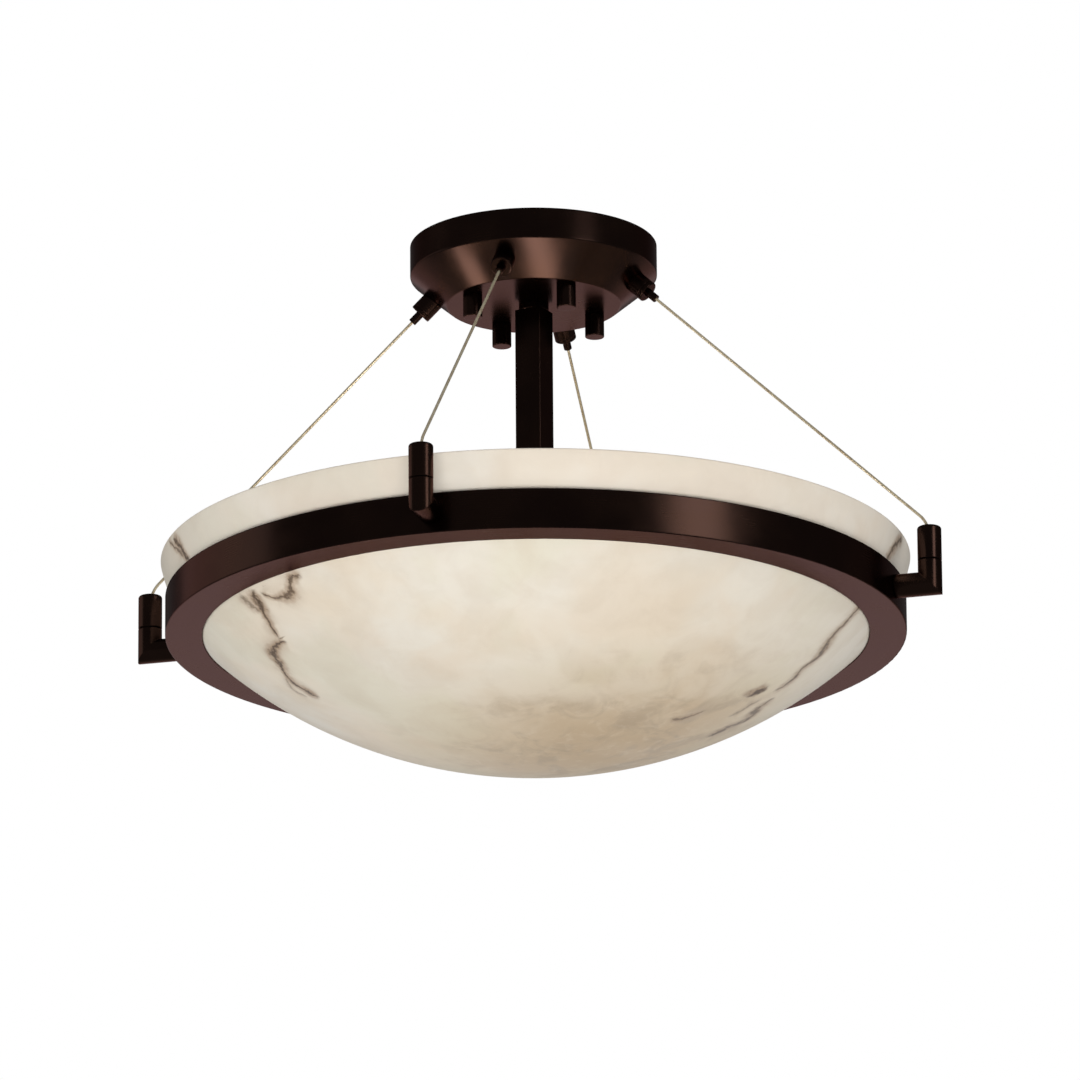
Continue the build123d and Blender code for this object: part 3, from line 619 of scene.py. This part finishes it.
def makeAlabaster(a):
    material, tree, shader = newMaterial("fauxAlabaster", {})
    n = {name: noise(tree, objectPlace(tree, shift=shift), *values)
         for name, (*values, shift) in a["noises"].items()}
    fromMiddle = vectorLength(tree, objectPlace(tree, (1, 1, 0), a["zoneMiddle"]))
    ragged = calculate(tree, "ADD", fromMiddle, spread(tree, n["clouds"], *a["zoneRagged"]))
    zone = spread(tree, ragged, *a["zoneShare"])
    place = add(tree, "SeparateXYZ", {"Vector": objectPlace(tree)}).outputs
    right = bothShares(tree, place["X"], a["rightShare"], n["patches"], a["rightPatches"])
    rimShaded = bothShares(tree, place["Z"], a["rimShadeShare"], n["patches"], a["rimShadePatches"])
    dark = bothShares(tree, n["mottle"], a["umberShare"], zone, a["umberZone"])
    light = bothShares(tree, n["wisps"], a["wispShare"], zone, a["wispZone"])
    low = spread(tree, fromMiddle, *a["lowShare"])
    colour = blendColours(tree, spread(tree, n["patches"], *a["paleShare"]), a["cream"], a["pale"])
    colour = blendColours(tree, spread(tree, n["tint"], *a["greenishShare"]), colour, a["greenish"])
    colour = blendColours(tree, spread(tree, n["tint"], *a["rosyShare"]), colour, a["rosy"])
    # beige round the bottom, partly the resin's tone and partly painted shade of the underside, and towards
    # the right by x
    colour = blendColours(tree, calculate(tree, "MAXIMUM", zone, right), colour, a["beige"])
    colour = blendColours(tree, spread(tree, n["clouds"], *a["cloudShare"]), colour, a["beige"])
    # painted shade: greyer and darker towards the rim
    colour = blendColours(tree, rimShaded, colour, a["rimShadeGrey"])
    colour = blendColours(tree, low, colour, a["lowTint"], "MULTIPLY")
    colour = blendColours(tree, dark, colour, a["umber"])
    colour = blendColours(tree, light, colour, a["cream"])
    waver = calculate(tree, "ADD", spread(tree, n["wander"], *a["veinWander"]),
                      spread(tree, n["fray"], *a["veinFray"]))
    core, halo, haze = veinShares(tree, a, "vein", waver)
    sideCore, sideHalo, sideHaze = veinShares(tree, a, "sideVein", waver)
    smoke = calculate(tree, "MULTIPLY", calculate(tree, "MAXIMUM", haze, sideHaze),
                      spread(tree, n["mottle"], *a["hazeShare"]))
    colour = blendColours(tree, smoke, colour, a["haze"])
    colour = blendColours(tree, calculate(tree, "MAXIMUM", halo, sideHalo), colour, a["veinHalo"])
    colour = blendColours(tree, calculate(tree, "MAXIMUM", core, sideCore), colour, a["veinCore"])
    feed(tree, shader, Base_Color=colour, Roughness=spread(tree, n["clouds"], *a["roughness"]),
         Normal=bump(tree, n["wisps"], *a["wispBump"]))
    return material


bowlShell.data.materials.append(makeAlabaster(alabaster))


# finishes of the smaller pieces
zincCoat = {
    "darkCell": 0.72,                 # share of the base colour
    "cellShare": (0.0, 1.0, 0.0, 0.5),
    "smearScale": 3,                  # times the cells' scale
    "roughness": (0.28, 0.46),
    "smearBump": (0.2, 0.00004),      # strength, distance
}
cableFinish = {
    "bright": (0.94, 0.83, 0.60),
    "greasy": (0.76, 0.62, 0.42),
    "metallic": 0.72,
    "greaseScale": 160.0,
    "greaseBand": (0.45, 0.7),
    "roughness": (0.18, 0.30),
}
glaze = {
    "mottle": (5.0, 0.6),             # noise detail, roughness
    "mottleBand": (0.4, 0.7),
    "mottleBump": (0.12, 0.00005),
}


def makeZinc(name, base, spangle):
    # plating: cells of slightly different grey, each with its own gloss
    z = zincCoat
    material, tree, shader = newMaterial(name, {"Metallic": 1.0})
    cells = add(tree, "TexVoronoi", {"Vector": objectPlace(tree), "Scale": spangle}).outputs["Color"]
    grey = add(tree, "SeparateColor", {"Color": cells}).outputs["Red"]
    smear = noise(tree, objectPlace(tree), spangle * z["smearScale"])
    darker = tuple(z["darkCell"] * channel for channel in base)
    colour = blendColours(tree, spread(tree, grey, *z["cellShare"]), base, darker)
    feed(tree, shader, Base_Color=colour, Roughness=spread(tree, smear, *noiseBand, *z["roughness"]),
         Normal=bump(tree, smear, *z["smearBump"]))
    return material


def makeCableSteel(c):
    # bright wire, duller where the noise says that the grease sits
    material, tree, shader = newMaterial("cableSteel", {"Metallic": c["metallic"]})
    grease = noise(tree, objectPlace(tree), c["greaseScale"])
    colour = blendColours(tree, spread(tree, grease, *c["greaseBand"]), c["bright"], c["greasy"])
    feed(tree, shader, Base_Color=colour, Roughness=spread(tree, grease, *noiseBand, *c["roughness"]))
    return material


def makeGlazed(name, base, shade, looks, grain):
    # a smooth coat over a faintly mottled body
    material, tree, shader = newMaterial(name, looks)
    mottle = noise(tree, objectPlace(tree), grain, *glaze["mottle"])
    colour = blendColours(tree, spread(tree, mottle, *glaze["mottleBand"]), base, shade)
    feed(tree, shader, Base_Color=colour, Normal=bump(tree, mottle, *glaze["mottleBump"]))
    return material


smallFinishes = {                     # colour, or colour and shade; the last number is the grain's scale
    "zincSteel": makeZinc("zincSteel", (0.56, 0.57, 0.58), 190.0),
    "capAluminium": makeZinc("capAluminium", (0.80, 0.80, 0.79), 420.0),
    "socketBrass": makeZinc("socketBrass", (0.78, 0.60, 0.32), 320.0),
    "greenScrew": makeZinc("greenScrew", (0.06, 0.34, 0.13), 420.0),
    "cableSteel": makeCableSteel(cableFinish),
    "porcelain": makeGlazed("porcelain", (0.86, 0.85, 0.80), (0.80, 0.77, 0.70),
                            {"Roughness": 0.16, "Coat Weight": 0.3, "Coat Roughness": 0.05}, 120.0),
    "frostedGlass": makeGlazed("frostedGlass", (0.90, 0.90, 0.87), (0.84, 0.84, 0.80),
                               {"Roughness": 0.30, "Coat Weight": 0.5, "Coat Roughness": 0.08}, 45.0),
}
finishOf = {                          # start of a node's name: its material
    "mounting_plate": "zincSteel", "plate_studs": "zincSteel", "stud_nuts": "zincSteel",
    "stem_washer": "zincSteel", "stem_nut": "zincSteel", "stem_rod": "zincSteel",
    "hub_nut": "zincSteel", "socket_nipples": "zincSteel", "nipple_nuts": "zincSteel",
    "gripper_nuts": "zincSteel", "post_screws": "zincSteel", "ground_screw": "greenScrew",
    "cable_stops": "cableSteel", "lampholder": "porcelain", "screw_shells": "socketBrass",
    "lamp_contacts": "socketBrass", "bulb_base": "capAluminium", "bulb_glass": "frostedGlass",
}
turnedPieces = ("canopy_shell", "ring_frame", "lamp_hub", "hub_cover", "stem_collar")
for name, node in nodes.items():
    start = next((key for key in finishOf if name.startswith(key)), None)
    if start:
        material = smallFinishes[finishOf[start]]
    else:
        material = bronzeTurned if name in turnedPieces else bronzeStraight
    node.data.materials.clear()
    node.data.materials.append(material)
for cable in cables:
    cable.data.materials.append(smallFinishes["cableSteel"])
print("materials on", len(nodes), "nodes")


# studio: pale floor far below, white behind, dark above the horizon in reflections
white = (1, 1, 1, 1)
studio = {
    "floorHeight": -12.0,
    "floorHalfWidth": 60.0,
    "floorColour": (0.8, 0.8, 0.79, 1),
    "skyLight": 0.85,                 # level that the white surround gives to matt surfaces
    "upperSky": 0.40,                 # the same, overhead
    "skyTurn": (0.0, 0.3),            # heights of direction between the two
    "darkReflection": 0.085,          # what metal sees above the horizon
    "horizon": (-0.06, 0.10),         # heights of direction between white and dark
    "sweepMiddle": (0.0, -42.0, 0.0),           # added to a place on the floor; brightest where it gives 0
    "sweepReach": (14.0, 40.0),       # distances from there between bright and dim
    "sweepDim": 0.13,
    "sweepBack": (0.30, 0.85),        # share of a direction that points back, between dim and bright
}
lamps = {                             # place, aim, width, height, watts, colour, seen in gloss
    "keyFront": ((-0.3, -5.2, -2.9), (0, 0, -0.28), 3.6, 1.8, 202.0, (1.0, 0.985, 0.96), False),
    "stripRight": ((1.04, -0.96, 0.12), (0.11, -0.22, -0.22), 0.42, 0.42, 1.48,
                   (1.0, 0.95, 0.92), True),
    "fillLeft": ((-4.0, -2.0, -2.8), (0, 0, -0.28), 2.0, 2.0, 27.0, (1.0, 0.985, 0.96), False),
    "fillRight": ((4.0, -2.0, -2.4), (0, 0, -0.28), 2.0, 2.0, 21.0, (1.0, 0.985, 0.96), False),
    "panelLeft": ((-1.15, 0.35, 0.10), (-0.1, 0, -0.25), 1.1, 0.30, 0.66, (1.0, 0.98, 0.96), True),
    "topSoft": ((1.2, -1.8, 5.0), (0, 0, -0.25), 3.0, 3.0, 45.0, (1.0, 0.99, 0.97), False),
    "coneSide": ((-0.152, -0.005, -0.195), (-0.040, -0.052, -0.031), 0.06, 0.05, 0.045,
                 (1.0, 0.90, 0.82), True),
    "coneGlow": ((0.030, -0.096, -0.26), (0.0073, -0.07, -0.03), 0.19, 0.045, 0.150,
                 (1.0, 0.90, 0.82), True),
}


def straightRays(tree):
    # 1 for rays from the camera and through glass
    rays = add(tree, "LightPath").outputs
    return calculate(tree, "MAXIMUM", rays["Is Camera Ray"], rays["Is Transmission Ray"])


def backdropShader(tree, output, seen, lit):
    # camera, transmission and glossy rays get seen; the rest get lit
    glossy = add(tree, "LightPath").outputs["Is Glossy Ray"]
    share = calculate(tree, "MAXIMUM", straightRays(tree), glossy)
    mix = add(tree, "MixShader", {0: share})
    tree.links.new(lit, mix.inputs[1])
    tree.links.new(seen, mix.inputs[2])
    tree.links.new(mix.outputs[0], output)


def seenLevel(tree, reflected):
    # pure white straight to the camera and through glass, the studio's own level in reflections
    return calculate(tree, "MAXIMUM", straightRays(tree), reflected)


def makeWorld(s):
    world = bpy.data.worlds.new("studioWorld")
    world.use_nodes = True
    tree = world.node_tree
    tree.nodes.clear()
    output = tree.nodes.new("ShaderNodeOutputWorld").inputs["Surface"]
    direction = add(tree, "SeparateXYZ", {"Vector": add(tree, "TexCoord").outputs["Generated"]})
    low = spread(tree, direction.outputs["Z"], *s["horizon"], 1.0, 0.0)
    back = spread(tree, direction.outputs["Y"], *s["sweepBack"], s["sweepDim"], 1.0)
    reflected = calculate(tree, "MAXIMUM", calculate(tree, "MULTIPLY", low, back), s["darkReflection"])
    seen = add(tree, "Background", {"Color": white, "Strength": seenLevel(tree, reflected)}).outputs[0]
    level = spread(tree, direction.outputs["Z"], *s["skyTurn"], s["skyLight"], s["upperSky"])
    lit = add(tree, "Background", {"Color": white, "Strength": level}).outputs[0]
    backdropShader(tree, output, seen, lit)
    bpy.context.scene.world = world


def makeFloor(s):
    half = s["floorHalfWidth"]
    low = s["floorHeight"]
    corners = np.array([[-half, -half, low], [half, -half, low], [half, half, low], [-half, half, low]])
    floor = linkMesh("paleFloor", corners, [(0, 1, 2, 3)], smooth=False)
    material = bpy.data.materials.new("paleFloor")
    material.use_nodes = True
    tree = material.node_tree
    tree.nodes.clear()
    output = tree.nodes.new("ShaderNodeOutputMaterial").inputs["Surface"]
    distance = vectorLength(tree, objectPlace(tree, (1, 1, 0), s["sweepMiddle"]))
    reflected = spread(tree, distance, *s["sweepReach"], 1.0, s["sweepDim"])
    seen = add(tree, "Emission", {"Color": white, "Strength": seenLevel(tree, reflected)}).outputs[0]
    lit = add(tree, "BsdfDiffuse", {"Color": s["floorColour"]}).outputs[0]
    backdropShader(tree, output, seen, lit)
    floor.data.materials.append(material)


def makeLamp(name, place, aim, width, height, watts, colour, inGloss):
    data = bpy.data.lights.new(name, "AREA")
    data.shape, data.size, data.size_y = "RECTANGLE", width, height
    data.energy, data.color = watts, colour
    lamp = bpy.data.objects.new(name, data)
    lamp.location = place
    lamp.rotation_mode = "QUATERNION"
    lamp.rotation_quaternion = (Vector(aim) - Vector(place)).to_track_quat("-Z", "Y")
    lamp.visible_camera, lamp.visible_glossy = False, inGloss
    bpy.context.scene.collection.objects.link(lamp)


makeWorld(studio)
makeFloor(studio)
for name, values in lamps.items():
    makeLamp(name, *values)
bpy.context.scene.view_settings.view_transform = "Standard"
print("studio ready")
